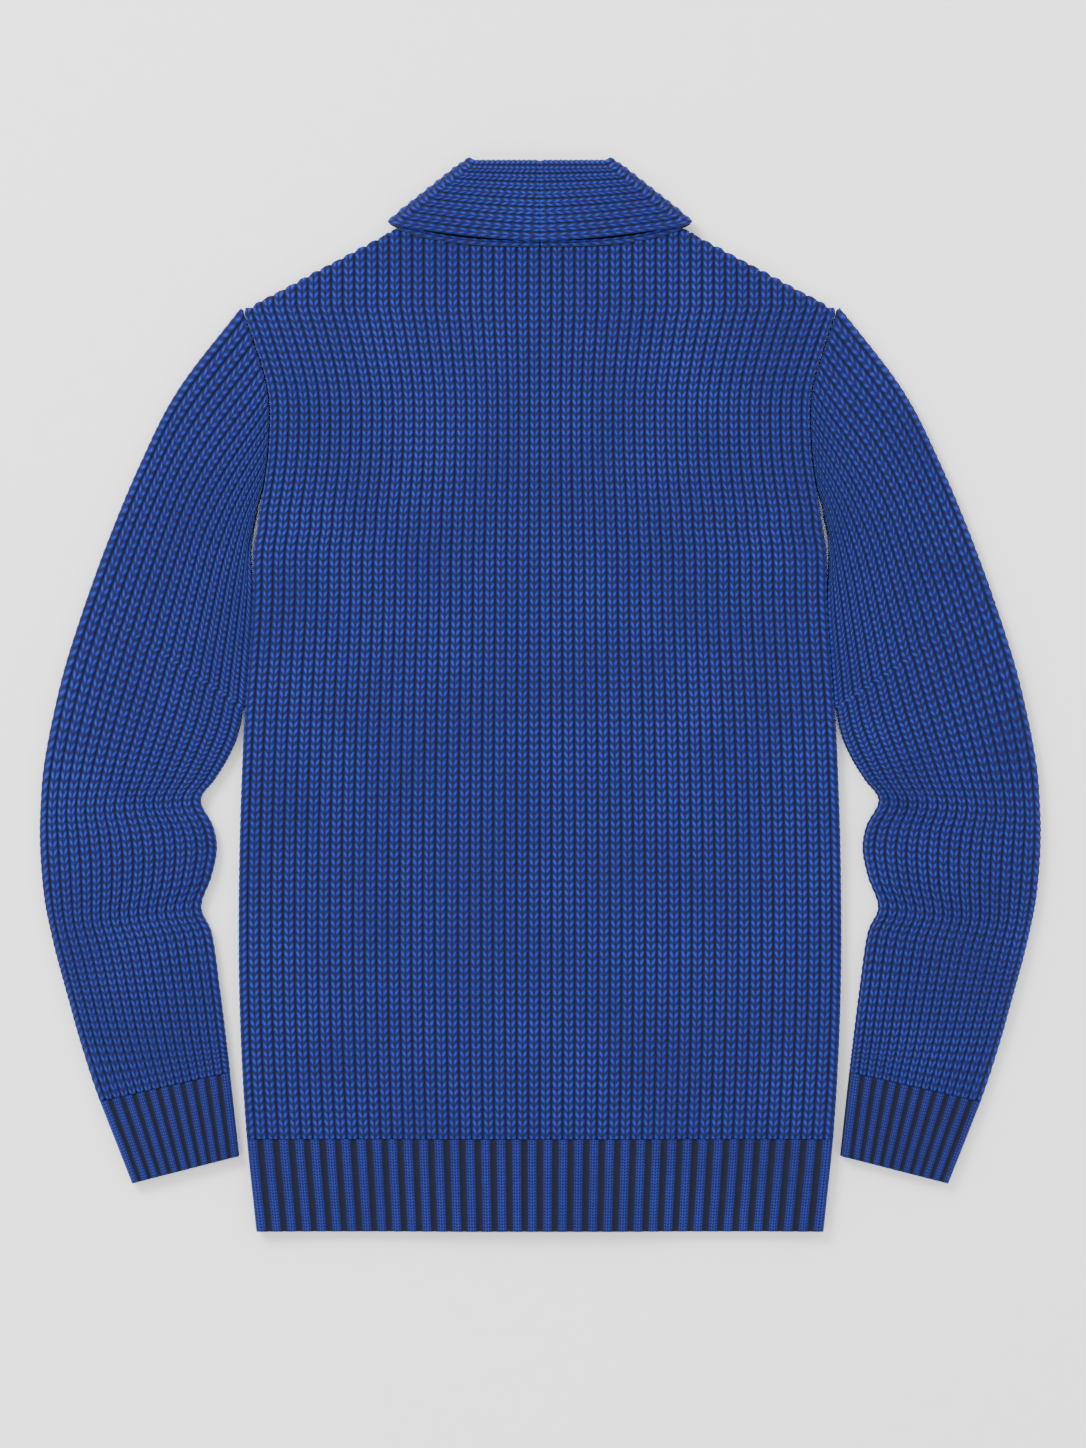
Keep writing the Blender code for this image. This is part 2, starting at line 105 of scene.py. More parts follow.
BODY = (  # y, half width: the outline of the body, and of the armhole above the underarm
    (HEM_Y, 0.2050),
    (RIB_Y, 0.2118),
    (-0.2333, 0.2167),
    (-0.1145, 0.2172),
    (-0.0288, 0.2142),
    (0.0691, 0.2078),
    (0.1094, 0.2063),
    (UNDERARM_Y, 0.2020),
    (0.1843, 0.1944),
    (0.2182, 0.1951),
    (0.2520, 0.2045),
    (SHOULDER_Y, SHOULDER_X),
)

SLEEVE = (  # outer x, outer y, inner x, inner y: the outline, section by section, armhole to cuff
    (0.2149, 0.2794, 0.2010, 0.1303),
    (0.2606, 0.2203, 0.2060, 0.0900),
    (0.2887, 0.1663, 0.2060, 0.0475),
    (0.3154, 0.1015, 0.2100, 0.0070),
    (0.3377, 0.0367, 0.2150, -0.0250),
    (0.3492, -0.0065, 0.2225, -0.0440),
    (0.3575, -0.0497, 0.2326, -0.0605),
    (0.3600, -0.0821, 0.2426, -0.0750),
    (0.3604, -0.1037, 0.2340, -0.0929),
    (0.3593, -0.1253, 0.2311, -0.1100),
    (0.3570, -0.1469, 0.2350, -0.1300),
    (0.3535, -0.1649, 0.2423, -0.1519),
    (0.3485, -0.1865, 0.2347, -0.1707),
    (0.3406, -0.2153, 0.2290, -0.2100),
    (0.3305, -0.2513, 0.2243, -0.2480),
    (0.3172, -0.2916, 0.2218, -0.2700),
)
CUFF_END = (0.2938, -0.3506, 0.2153, -0.3305)
CUFF_TOP_Z = 0.0088
UNDERARM_EASE = 0.0028  # the sleeve stands off the body's turned edge at the underarm

LAPEL = (  # seam x, seam y, roll x, roll y, edge x, edge y: the folded collar down a front
    (0.0955, 0.3080, 0.0440, 0.3480, 0.1230, 0.3100),
    (0.0860, 0.2740, 0.0370, 0.3050, 0.1290, 0.2680),
    (0.0740, 0.2350, 0.0280, 0.2560, 0.1150, 0.2280),
    (0.0620, 0.1970, 0.0195, 0.2080, 0.0800, 0.1930),
    (0.0515, ROLL_END_Y, 0.0124, ROLL_END_Y, 0.0270, ROLL_END_Y),
)

BAND = (  # y, x of the seam to the front, x of the free edge past the centre
    (HEM_Y, BAND_X, -BAND_X),
    (BAND_FULL_Y - 0.05, BAND_X, -BAND_X),
    (BAND_FULL_Y, 0.0290, -BAND_X),
    (0.1000, 0.0335, -0.0110),
    (0.1300, 0.0410, 0.0025),
    (ROLL_END_Y, 0.0515, 0.0124),
)

FOLDS = (  # side (0 both), x, y, angle in degrees, half length, half width, height: on the sleeves
    (-1, 0.278, -0.083, 35, 0.045, 0.009, -0.0020),
    (-1, 0.250, -0.066, 80, 0.022, 0.007, 0.0014),
    (1, 0.270, -0.085, 142, 0.035, 0.009, -0.0022),
    (1, 0.297, -0.154, 150, 0.040, 0.012, -0.0014),
    (0, 0.262, -0.148, 160, 0.030, 0.008, -0.0016),
    (0, 0.250, -0.112, 90, 0.026, 0.010, 0.0012),
    (0, 0.330, -0.020, 72, 0.090, 0.014, 0.0010),
)

ROW = 0.0055  # height of a stitch
COLLAR_WALE = 0.0060
RELIEF = 0.0017  # how deep the valley between two wales is
RIB_RELIEF = 0.0015
PER_WALE = 5  # grid columns to a wale of stitches
PER_ROW = 3  # grid rows to a stitch
PER_RIB = 8  # grid columns to a rib of the hem, the cuffs and the bands
RIB_ROW = 0.0022  # height of a row in the ribs

# %% Form


def smooth_step(value, low, high):
    """0 below low and 1 above high, with a soft rise between."""
    part = np.clip((value - low) / (high - low), 0, 1)
    return part * part * (3 - 2 * part)


def through(at, knots, values):
    """A smooth curve through the values at rising knots, read at the places asked for."""
    knots, values = np.asarray(knots, float), np.asarray(values, float)
    slopes = np.gradient(values, knots)
    index = np.clip(np.searchsorted(knots, at) - 1, 0, len(knots) - 2)
    width = knots[index + 1] - knots[index]
    part = np.clip((at - knots[index]) / width, 0, 1)
    rest = 1 - part
    ends = values[index] * (1 + 2 * part) * rest**2 + values[index + 1] * (3 - 2 * part) * part**2
    return ends + width * part * rest * (slopes[index] * rest - slopes[index + 1] * part)


def half_width(y):
    """Half the width of the body at y."""
    return through(y, *np.transpose(BODY))


def shoulder_y(x):
    return SHOULDER_Y + (SHOULDER_X - x) * SHOULDER_RISE


def neck_y(x):
    """The back neck seam: nearly straight, rising to the shoulders."""
    return NECK_CENTRE_Y + NECK_DIP * np.abs(x / 0.11) ** 3


def band_seam(y):
    """The seam of a front to its band, and above the band to its collar."""
    rows = list(BAND) + [(row[1], row[0], 0) for row in LAPEL[-2::-1]] + [(0.3345, NECK_X, 0)]
    return through(y, *np.transpose(rows)[:2])


def lapel_reach(y):
    """How far a lapel reaches from the centre under its front."""
    rows = LAPEL[::-1]
    edge = through(y, [row[5] for row in rows], [row[4] for row in rows])
    return np.maximum(edge, band_seam(y))


def front_height(x, y, over_band):
    """Height of a front's middle surface; over_band is 1 on the side whose band is the inner one."""
    lapel = 1 - smooth_step(x - lapel_reach(y), 0.020, 0.055)
    lapel = lapel * smooth_step(y, 0.128, ROLL_END_Y)
    band = over_band * (1 - smooth_step(x, 0.036, 0.064)) * (1 - smooth_step(y, 0.17, 0.20))
    return LOW + np.maximum(LAPEL_LIFT * lapel, BAND_LIFT * band)


def back_height(x, y):
    """Height of the back's middle surface, which lies over the fronts, the bands and the lapels."""
    x = np.abs(x)
    middle = (MIDDLE_Z - OPEN_Z) * (1 - smooth_step(x, 0.045, 0.115))
    over_lapel = (1 - smooth_step(x - lapel_reach(y), 0.035, 0.090)) * smooth_step(y, 0.06, 0.14)
    chest = (CHEST_Z - OPEN_Z) * over_lapel
    side = (SIDE_Z - OPEN_Z) * (1 - smooth_step(half_width(y) - x, 0.010, 0.050))
    neck = (LOOP_Z + STAND_R - OPEN_Z) * smooth_step(y, 0.27, 0.325) * (1 - smooth_step(x, 0.11, 0.16))
    top = (SIDE_Z - OPEN_Z) * smooth_step(y - shoulder_y(x), -0.05, -0.01)
    return OPEN_Z + np.maximum.reduce([middle, chest, side, neck, top])


def fold_height(x, y, side):
    """Troughs and ridges of the FOLDS table at a point of the sleeve on that side."""
    total = np.zeros_like(x)
    for where, fold_x, fold_y, angle, half_length, half_wide, height in FOLDS:
        if where not in (0, side):
            continue
        along = np.array((np.cos(np.radians(angle)), np.sin(np.radians(angle))))
        run = ((x - fold_x) * along[0] + (y - fold_y) * along[1]) / half_length
        off = ((y - fold_y) * along[0] - (x - fold_x) * along[1]) / half_wide
        total += height * np.exp(-(run**2) - off**2)
    return total


print("half width at the hem", float(half_width(HEM_Y)), "m")

# %% [markdown]
# ## Turning a form into a knit
#
# The grid's two directions follow the wales and the rows, so the relief is one formula over whole
# arrays. The skin stands half the wall off the middle surface, and its borders turn under by the
# thickness of the knit, which is what an edge of real knitting shows.

# %% Knit skin
BORDER = 4  # grid places that an edge runs back under the knit


def stitch_relief(wale, row, depth):
    """Height in metres at (wale, row), both counted in stitches: depth times a round ridge over each
    wale, |sin(pi wale)| ** 0.7, less a part that follows cos(2 pi (row - 0.6 |2 f - 1|)), with f
    the place across the wale, so the rows read as V shapes that point to the hem."""
    place = np.mod(wale, 1)
    ridge = np.abs(np.sin(np.pi * place)) ** 0.7
    legs = np.cos(2 * np.pi * (row - 0.6 * np.abs(2 * place - 1)))
    return depth * (ridge * (0.82 + 0.18 * legs) - 1)


def rib_relief(wale, row, depth):
    """Height in metres over a rib: depth times a valley |cos(pi wale)| ** 6 below three fine wales,
    each |sin(3 pi wale)|, with a light cut between rows."""
    fine = np.abs(np.sin(3 * np.pi * wale))
    valley = np.abs(np.cos(np.pi * wale)) ** 6
    return depth * (-valley + 0.16 * (fine - 1) + 0.05 * np.cos(2 * np.pi * row))


def normals_of(points, ring):
    """Unit normals of a grid of points: the cross product of its two directions."""
    if ring:
        padded = np.concatenate([points[:, -2:], points, points[:, :2]], axis=1)
        across = np.gradient(padded, axis=1)[:, 2:-2]
    else:
        across = np.gradient(points, axis=1)
    normal = np.cross(np.gradient(points, axis=0), across)
    return normal / np.maximum(np.linalg.norm(normal, axis=-1, keepdims=True), 1e-12)


def grid_mesh(name, points, uv, ring):
    """A mesh of the grid with the UV map Knit, whose units are stitches. A ring's last column of
    faces comes back to its first points, and its uv has one column more than its points."""
    sections, places = points.shape[:2]
    index = np.arange(sections * places).reshape(sections, places)
    if ring:
        index = np.concatenate([index, index[:, :1]], axis=1)
    corner = np.arange(index.size).reshape(index.shape)

    def quads(grid):
        return np.stack([grid[:-1, :-1], grid[1:, :-1], grid[1:, 1:], grid[:-1, 1:]], axis=-1).reshape(-1)

    vertex = quads(index)
    mesh = bpy.data.meshes.new(name)
    mesh.vertices.add(sections * places)
    mesh.vertices.foreach_set("co", points.reshape(-1).astype(np.float32))
    mesh.loops.add(len(vertex))
    mesh.loops.foreach_set("vertex_index", vertex.astype(np.int32))
    mesh.polygons.add(len(vertex) // 4)
    mesh.polygons.foreach_set("loop_start", np.arange(0, len(vertex), 4, dtype=np.int32))
    mesh.update(calc_edges=True)
    layer = mesh.uv_layers.new(name="Knit")
    layer.data.foreach_set("uv", uv.reshape(-1, 2)[quads(corner)].reshape(-1).astype(np.float32))
    mesh.validate()
    mesh.shade_smooth()
    return mesh


def bordered(outer, inner, uv, ring):
    """The outer grid with its borders brought down to the inner one and BORDER places back under it.
    Corners are mitred. A ring has borders at its two ends only, and its uv gets a closing column."""
    sections, places = outer.shape[:2]
    last, end = sections - 1, places - 1
    rows = np.concatenate([[0, 0], np.arange(sections), [last, last]])
    columns = np.arange(places) if ring else np.concatenate([[0, 0], np.arange(places), [end, end]])
    i, j = np.meshgrid(rows, columns, indexing="ij")
    face = np.zeros(i.shape, bool)
    face[2:-2, slice(None) if ring else slice(2, -2)] = True
    under = np.zeros(i.shape, bool)
    under[[0, -1]] = True
    if not ring:
        under[:, [0, -1]] = True
        j = np.where(under, np.clip(j, BORDER, end - BORDER), j)
    i = np.where(under, np.clip(i, BORDER, last - BORDER), i)
    points = np.where(face[..., None], outer[i, j], inner[i, j])
    uv = uv[i, j]
    if ring:
        uv = np.concatenate([uv, uv[:, -1:] * 2 - uv[:, -2:-1]], axis=1)
    return points, uv


def knit(name, node, middle, wale, row, relief, depth, cloth, outward, ring=False):
    """A knitted skin over the middle surface, on the side that outward (+1 or -1) gives, with its
    borders turned under. It replaces the node."""
    middle, wale, row = np.asarray(middle, float), np.asarray(wale, float), np.asarray(row, float)
    normal = normals_of(middle, ring)
    if ring:
        outward = np.sign(np.sum(normal * (middle - middle.mean(axis=1, keepdims=True))))
    normal = normal * outward
    height = WALL / 2 + relief(wale, row, depth)
    outer = middle + normal * height[..., None]
    inner = middle - normal * WALL / 2
    outer, uv = bordered(outer, inner, np.stack([wale, row], axis=-1), ring)
    if outward < 0:
        outer, uv = outer[::-1], uv[::-1]
    outer[..., 2] = np.maximum(outer[..., 2], 0.00005)
    made = bpy.data.objects.new(name, grid_mesh(name, outer, uv, ring))
    made.data.materials.append(cloth)
    bpy.context.scene.collection.objects.link(made)
    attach(made, "root")
    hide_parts(node)
    made.data.calc_loop_triangles()
    print(name, len(made.data.loop_triangles), "triangles")
    return made

# %% [markdown]
# ## Shader maths
#
# One small class turns node sockets into values that add and multiply, so each finish reads as a formula.

# %% Node values


class Value:
    """A number socket of a node tree, with arithmetic made of Math nodes."""

    def __init__(self, tree, socket):
        self.tree, self.socket = tree, socket

    def node(self, kind, settings=None, inputs=None, output=0):
        made = self.tree.nodes.new(kind)
        for key, value in (settings or {}).items():
            setattr(made, key, value)
        for key, value in (inputs or {}).items():
            if isinstance(value, Value):
                self.tree.links.new(value.socket, made.inputs[key])
            else:
                made.inputs[key].default_value = value
        return Value(self.tree, made.outputs[output])

    def math(self, operation, *others):
        return self.node("ShaderNodeMath", {"operation": operation}, dict(enumerate((self, *others))))

    def __add__(self, other):
        return self.math("ADD", other)

    def __sub__(self, other):
        return self.math("SUBTRACT", other)

    def __mul__(self, other):
        return self.math("MULTIPLY", other)

    def __pow__(self, other):
        return self.math("POWER", other)

    __radd__ = __add__
    __rmul__ = __mul__

    def __rsub__(self, other):
        return self * -1 + other

    def step(self, low, high, to_low=0, to_high=1):
        limits = {1: low, 2: high, 3: to_low, 4: to_high}
        return self.node("ShaderNodeMapRange", {"interpolation_type": "SMOOTHSTEP"}, {0: self, **limits})


def mix(amount, first, second):
    """A colour between two colours or sockets."""
    settings = {"data_type": "RGBA"}
    return amount.node("ShaderNodeMix", settings, {0: amount, 6: first, 7: second}, 2)


def start(name, roughness):
    made = bpy.data.materials.new(name)
    made.use_nodes = True
    tree = made.node_tree
    shader = tree.nodes["Principled BSDF"]
    shader.inputs["Roughness"].default_value = roughness
    return made, tree, shader


# %% [markdown]
# ## Dyed wool, with painted shade and painted highlights
#
# Colour, sheen and small relief all come from the stitch coordinates. The colour holds painted light: a
# painted highlight on the crown of each V of yarn and painted shade, nearly black, in the valley between
# wales, at any bend of the cloth. A noise in Object coordinates would be simpler, but it would slide
# across the stitches. Wool scatters light at a grazing angle, so the sheen is set on the socket, and the
# roughness stays high.

# %% Wool
# The first colour is painted shade for the valleys between wales, the second the wool's own blue, the
# third a painted highlight for the crowns of the stitches
PAINTED_SHADE = (0.0002, 0.0004, 0.008, 1)
MAIN = (0.0010, 0.0040, 0.105, 1)
PAINTED_HIGHLIGHT = (0.0090, 0.0240, 0.290, 1)


def wool(name, legs, fine, bump):
    """Knit wool on the UV map Knit. legs is 1 for V-shaped stitches and 0 for ribs, fine is the
    number of fine wales to a unit across, and bump is the relief of a leg in metres."""
    made, tree, shader = start(name, 0.82)
    shader.inputs["Sheen Weight"].default_value = 0.12
    shader.inputs["Sheen Roughness"].default_value = 0.5
    shader.inputs["Sheen Tint"].default_value = (0.25, 0.40, 1.0, 1)
    shader.inputs["Specular IOR Level"].default_value = 0.25
    knit_uv = tree.nodes.new("ShaderNodeUVMap")
    knit_uv.uv_map = "Knit"
    parts = tree.nodes.new("ShaderNodeSeparateXYZ")
    tree.links.new(knit_uv.outputs[0], parts.inputs[0])
    wale, row = Value(tree, parts.outputs[0]), Value(tree, parts.outputs[1])
    place = (wale * fine).math("FRACT")
    off = (place * 2 - 1).math("ABSOLUTE")
    leg = row - off * 0.6
    swell = (leg * (2 * np.pi)).math("COSINE") * 0.5 + 0.5
    body = (off * np.pi).math("SINE").math("ABSOLUTE") ** 0.6
    stitch = body * (swell * 0.65 + 0.35)
    twist = ((leg * 3 + off * 2.5) * (2 * np.pi)).math("SINE") * 0.5 + 0.5
    whole_off = ((wale.math("FRACT")) * 2 - 1).math("ABSOLUTE")
    valley = (wale * np.pi).math("COSINE").math("ABSOLUTE")
    crown = 1 - whole_off ** 5 if legs else valley.step(0.55, 1.0, 1, 0)
    relief = stitch * (0.7 if legs else 0.45) * crown + twist * 0.06 + crown * (0.5 if legs else 0.6)
    coords = tree.nodes.new("ShaderNodeTexCoord")
    place_3d = Value(tree, coords.outputs["Object"])
    fuzz = place_3d.node("ShaderNodeTexNoise", {}, {"Vector": place_3d, "Scale": 900.0, "Detail": 3.0})
    cloudy = place_3d.node("ShaderNodeTexNoise", {}, {"Vector": place_3d, "Scale": 14.0, "Detail": 2.0})
    uneven = place_3d.node("ShaderNodeTexNoise", {}, {"Vector": place_3d, "Scale": 160.0, "Detail": 2.0})
    # Painted shade darkens the valleys and a painted highlight lightens the crowns, both following the
    # stitch relief, with random tone from the noises mixed in
    valley_shade_and_tone = (stitch * crown + (fuzz - 0.5) * 0.25 + (uneven - 0.5) * 0.35).step(0.05, 0.62)
    crown_highlight_and_tone = (stitch * crown + (cloudy - 0.5) * 0.5 + (fuzz - 0.5) * 0.5).step(0.45, 1.15)
    colour = mix(crown_highlight_and_tone, mix(valley_shade_and_tone, PAINTED_SHADE, MAIN), PAINTED_HIGHLIGHT)
    tree.links.new(colour.socket, shader.inputs["Base Color"])
    height = relief + fuzz * 0.10
    inputs = {"Height": height, "Distance": bump, "Strength": 1.0}
    bumped = height.node("ShaderNodeBump", {}, inputs)
    tree.links.new(bumped.socket, shader.inputs["Normal"])
    return made


stitches = wool("wool_stitches", 1, 1, 0.0016)
hem_wool = wool("wool_hem_rib", 0, 3, 0.0009)
collar_wool = wool("wool_collar", 1, 1, 0.0014)

# %% [markdown]
# ## The back and the fronts
#
# The back has 52 wales from side to side. The grid's columns are laid by arc length, so the last
# wales go round the side seam to meet the front, as the real edge does.

# %% Body skins
BACK_WALES = 52
CURL_SHARE = 0.028  # of a panel's half width, or of its height, taken up by its turned edge


def dense(count, start_curl, end_curl):
    """count rows of (share, reach of the turn, drop of the turn) in even steps. share runs from 0, or
    from -1 with start_curl, to 1; the last CURL_SHARE of it is a quarter turn where end_curl is set."""
    at = np.linspace(-1 if start_curl else 0, 1, count)
    limit = 1 - CURL_SHARE if end_curl else 1
    size = np.abs(at)
    turn = np.clip((size - limit) / CURL_SHARE, 0, 1) * np.pi / 2
    share = np.clip(size / limit, 0, 1) * np.where(at < 0, -1, 1)
    return np.stack([share, np.sin(turn), 1 - np.cos(turn)], axis=1)


def side_curl(y):
    """1 where the side seam closes the body, 0 along the armhole."""
    return 1 - smooth_step(y, UNDERARM_Y - 0.012, UNDERARM_Y + 0.002)


def panel(columns, rows, reach, bottom, top, inner, height, other, top_curl):
    """A body panel from columns and rows of dense, between y = bottom and y = top(reach), where
    reach is each column's x at the shoulder. It runs out to the body's outline from x = inner(y), or from
    the mirrored outline where inner is None. height(x, y) is its own height and other(x, y) that of
    the panel it is sewn to, which its side, and its top by top_curl, turn half way round to."""
    share, out, down = (columns[:, None, i] for i in range(3))
    rise, tip_out, tip_down = (rows[None, :, i] for i in range(3))
    inset = top_curl * WALL / 2 + (1 - top_curl) * SEAM / 2 + CURL_R
    y = bottom + rise * (top(reach) - inset - bottom)
    closed = side_curl(y)
    outer = half_width(y) - CURL_R - closed * WALL / 2 - (1 - closed) * SEAM / 2
    flat_x = outer * share if inner is None else inner(y) + (outer - inner(y)) * share
    z = height(flat_x, y)
    half_way = (other(flat_x, y) - z) / 2
    drop = half_way - 3 * np.sign(half_way) * SEAM
    x = flat_x + CURL_R * out * (np.sign(share) if inner is None else 1)
    y = y + CURL_R * tip_out
    return np.stack(np.broadcast_arrays(x, y, z + drop * (closed * down + top_curl * tip_down)), axis=-1)


def front_inner(y):
    """The edge of a front along its band and its collar."""
    return band_seam(y) + 3 * SEAM


def back_top(x):
    return np.minimum(shoulder_y(x), neck_y(x) + 2 * SEAM)


def body_skin(node, side, bottom, top_line, sewn_top, wales, yarn):
    """The skin of a piece of the back (side 0) or of a front. sewn_top is 1 where its top is a
    shoulder, and yarn is one of the knits below."""
    tall, per_wale, pitch, relief, depth, cloth = yarn
    over_band = max(side, 0)

    def front(x, y):
        return front_height(np.abs(x), y, over_band)

    rows = dense(int(round(tall / pitch * PER_ROW)) + 1, False, sewn_top)
    rows[:, 0] = np.abs(rows[:, 0])
    if side == 0:
        columns = dense(wales * per_wale + 1, True, True)
        reach = np.abs(columns[:, :1]) * SHOULDER_X
        top_curl = sewn_top * smooth_step(reach, NECK_X - 0.004, NECK_X + 0.006)
        middle = panel(columns, rows, reach, bottom, top_line, None, back_height, front, top_curl)
        outward = 1
    else:
        columns = dense(wales * per_wale + 1, False, True)
        reach = NECK_X + (SHOULDER_X - NECK_X) * columns[:, :1]
        middle = panel(columns, rows, reach, bottom, top_line, front_inner, front, back_height, sewn_top)
        middle = middle if side > 0 else middle[::-1] * (-1, 1, 1)
        outward = -1
    wale = np.broadcast_to(np.arange(len(columns))[:, None] / per_wale, middle.shape[:2])
    row = middle[..., 1] / pitch
    return knit(
        f"{node}_knit", node, middle, wale, row, relief, depth, cloth, outward
    )


def rib_line(x):
    return np.full_like(x, RIB_Y + CURL_R)


# Height of the piece, grid columns to a wale, row, relief, its depth and the wool
BODY_KNIT = (0.64, PER_WALE, ROW, stitch_relief, RELIEF, stitches)
HEM_KNIT = (0.066, PER_RIB, RIB_ROW, rib_relief, RIB_RELIEF, hem_wool)
BACK_HEM_RIBS = 38
FRONT_HEM_RIBS = 17
FRONT_WALES = 22
SIDES = ((-1, "left"), (1, "right"))
body_skin(
    "back_panel", 0, RIB_Y + SEAM / 2, back_top, 1, BACK_WALES, BODY_KNIT
)
body_skin("back_hem_rib", 0, HEM_Y, rib_line, 0, BACK_HEM_RIBS, HEM_KNIT)
for side, word in SIDES:
    body_skin(
        f"front_hem_rib_{word}", side, HEM_Y, rib_line, 0, FRONT_HEM_RIBS, HEM_KNIT
    )
for side, word in SIDES:
    body_skin(
        f"front_panel_{word}", side, RIB_Y + SEAM / 2, shoulder_y, 1, FRONT_WALES, BODY_KNIT,
    )

# %% [markdown]
# ## Sleeves and cuffs
#
# A sleeve is one flattened tube, with its wales run lengthwise all round. The elbow's troughs and
# ridges are the same soft folds as in its solid, from one table, a little deeper in the knit.

# %% Sleeve skins
SLEEVE_WALES = 17  # on each face of the tube
SLEEVE_ROWS = 300
SLEEVE_CROWN = 0.0026  # how far the upper side bulges
TUCK = 0.003  # how far a sleeve reaches into the body's side edge, to close the seam
TUCK_Y = -0.01  # above this
FOLD_DEPTH = 1.6  # the knit's folds over those of the solid
CUFF_RIBS = 11
CUFF_ROWS = 60


def stadium(outer, inner, bottom, top, crown, per_side):
    """A flattened ring for each section, by arc length: half circles at its ends, a flat bottom and
    a slightly domed top. It has 2 * per_side places."""
    across = inner - outer
    length = np.linalg.norm(across, axis=1)[:, None]
    radius = ((top - bottom) / 2)[:, None]
    flat, arc = length - 2 * radius, np.pi * radius
    total = 2 * (flat + arc)
    at = (np.arange(2 * per_side) / (2 * per_side))[None, :] * total
    at = np.mod(at - arc / 2, total)
    upper = at < flat
    far = (at >= flat) & (at < flat + arc)
    lower = (at >= flat + arc) & (at < 2 * flat + arc)
    turn = np.where(far, (at - flat) / radius, (at - 2 * flat - arc) / radius)
    inset = np.where(upper, radius + at, np.where(lower, radius + 2 * flat + arc - at, 0))
    inset = np.where(far, length - radius + radius * np.sin(turn), inset)
    inset = np.where(~(upper | far | lower), radius - radius * np.sin(turn), inset)
    height = np.where(upper, 1.0, np.where(lower, -1.0, 0))
    height = np.where(far, np.cos(turn), height)
    height = np.where(~(upper | far | lower), -np.cos(turn), height)
    along = (across / length)[:, None, :]
    plan = outer[:, None, :] + along * inset[..., None]
    dome = crown[:, None] * np.sin(np.pi * np.clip(at / flat, 0, 1)) * upper
    z = (top + bottom)[:, None] / 2 + radius * height + dome
    return np.concatenate([plan, z[..., None]], axis=-1)


def edge_normals(points, toward):
    """Unit normals of an outline in plan, pointing to the other outline."""
    run = np.gradient(points, axis=0)
    normal = np.stack([-run[:, 1], run[:, 0]], axis=1)
    normal /= np.linalg.norm(normal, axis=1, keepdims=True)
    facing = np.sign(np.sum(normal * (toward - points), axis=1, keepdims=True))
    return normal * facing


def sleeve_middle(side, at, per_side):
    """The middle surface of a sleeve through its sections, read at the stations asked for."""
    table = np.array(SLEEVE + (CUFF_END,))
    station = np.arange(len(table))
    read = np.stack([through(at, station, column) for column in table.T], axis=1)
    outer, inner = read[:, :2], read[:, 2:]
    beside = half_width(inner[:, 1]) - TUCK
    inner[:, 0] = np.where(inner[:, 1] > TUCK_Y, beside, inner[:, 0])
    middle_outer = outer + edge_normals(outer, inner) * WALL / 2
    middle_inner = inner + edge_normals(inner, outer) * WALL / 2
    top = SIDE_Z + (CUFF_TOP_Z - SIDE_Z) * smooth_step(at, 13, 15)
    crown = SLEEVE_CROWN * smooth_step(at, 0, 3) * (1 - smooth_step(at, 13, 15))
    points = stadium(middle_outer, middle_inner, np.full(len(at), LOW), top, crown, per_side)
    armhole_x = half_width(points[0, :, 1]) + 1.5 * SEAM
    armhole_x += UNDERARM_EASE * (1 - smooth_step(points[0, :, 1], UNDERARM_Y, UNDERARM_Y + 0.02))
    bow = armhole_x - points[0, :, 0]
    points[..., 0] += bow * ((1 - smooth_step(at, 0, 2))[:, None])
    upper = smooth_step(points[..., 2], LOW + 0.5 * (SIDE_Z - LOW), SIDE_Z)
    points[..., 2] += FOLD_DEPTH * upper * fold_height(points[..., 0], points[..., 1], side)
    return points


def tube_skin(node, middle, side, wales, yarn):
    """The skin of a tube whose middle[section, place] runs down from its upper end."""
    pitch, relief, depth, cloth = yarn[2:]
    places = middle.shape[1]
    length = np.linalg.norm(np.diff(middle, axis=0), axis=-1).mean(axis=1)
    row = -np.concatenate([[0], np.cumsum(length)])[:, None] / pitch
    wale = np.broadcast_to(np.arange(places)[None, :] * wales / places, middle.shape[:2])
    middle = middle[:, ::-1] if side > 0 else middle * (-1, 1, 1)
    row = np.broadcast_to(row, middle.shape[:2])
    return knit(
        f"{node}_knit", node, middle, wale, row, relief, depth, cloth, 1, ring=True
    )


def even_stations(low, high, count):
    """Stations from low to high whose middle points are evenly spaced along the sleeve."""
    table = np.array(SLEEVE + (CUFF_END,))
    station = np.linspace(low, high, 400)
    read = np.stack([through(station, np.arange(len(table)), column) for column in table.T], axis=1)
    middle = (read[:, :2] + read[:, 2:]) / 2
    run = np.concatenate([[0], np.cumsum(np.linalg.norm(np.diff(middle, axis=0), axis=1))])
    return np.interp(np.linspace(0, run[-1], count), run, station)


def cuff_middle():
    """The middle surface of a cuff, straight from the sleeve's last section to the cuff's end."""
    ends = np.array((SLEEVE[-1], CUFF_END))
    read = ends[0] + (ends[1] - ends[0]) * np.linspace(0.004, 1, CUFF_ROWS)[:, None]
    outer, inner = read[:, :2], read[:, 2:]
    middle_outer = outer + edge_normals(outer, inner) * WALL / 2
    middle_inner = inner + edge_normals(inner, outer) * WALL / 2
    low = np.full(CUFF_ROWS, LOW)
    high = low - LOW + CUFF_TOP_Z
    return stadium(middle_outer, middle_inner, low, high, low * 0, CUFF_RIBS * PER_RIB)


for side, word in SIDES:
    stations = even_stations(0, 15, SLEEVE_ROWS)
    middle = sleeve_middle(side, stations, SLEEVE_WALES * PER_WALE)
    tube_skin(f"sleeve_{word}", middle, side, 2 * SLEEVE_WALES, BODY_KNIT)
    tube_skin(f"cuff_{word}", cuff_middle(), side, 2 * CUFF_RIBS, HEM_KNIT)

# %% [markdown]
# ## Collar and bands
#
# Each half of the collar is one strip with its wales along it. It starts at the seam of the centre
# back, folds over the roll, turns under at the neck side and goes down the front as the lapel.

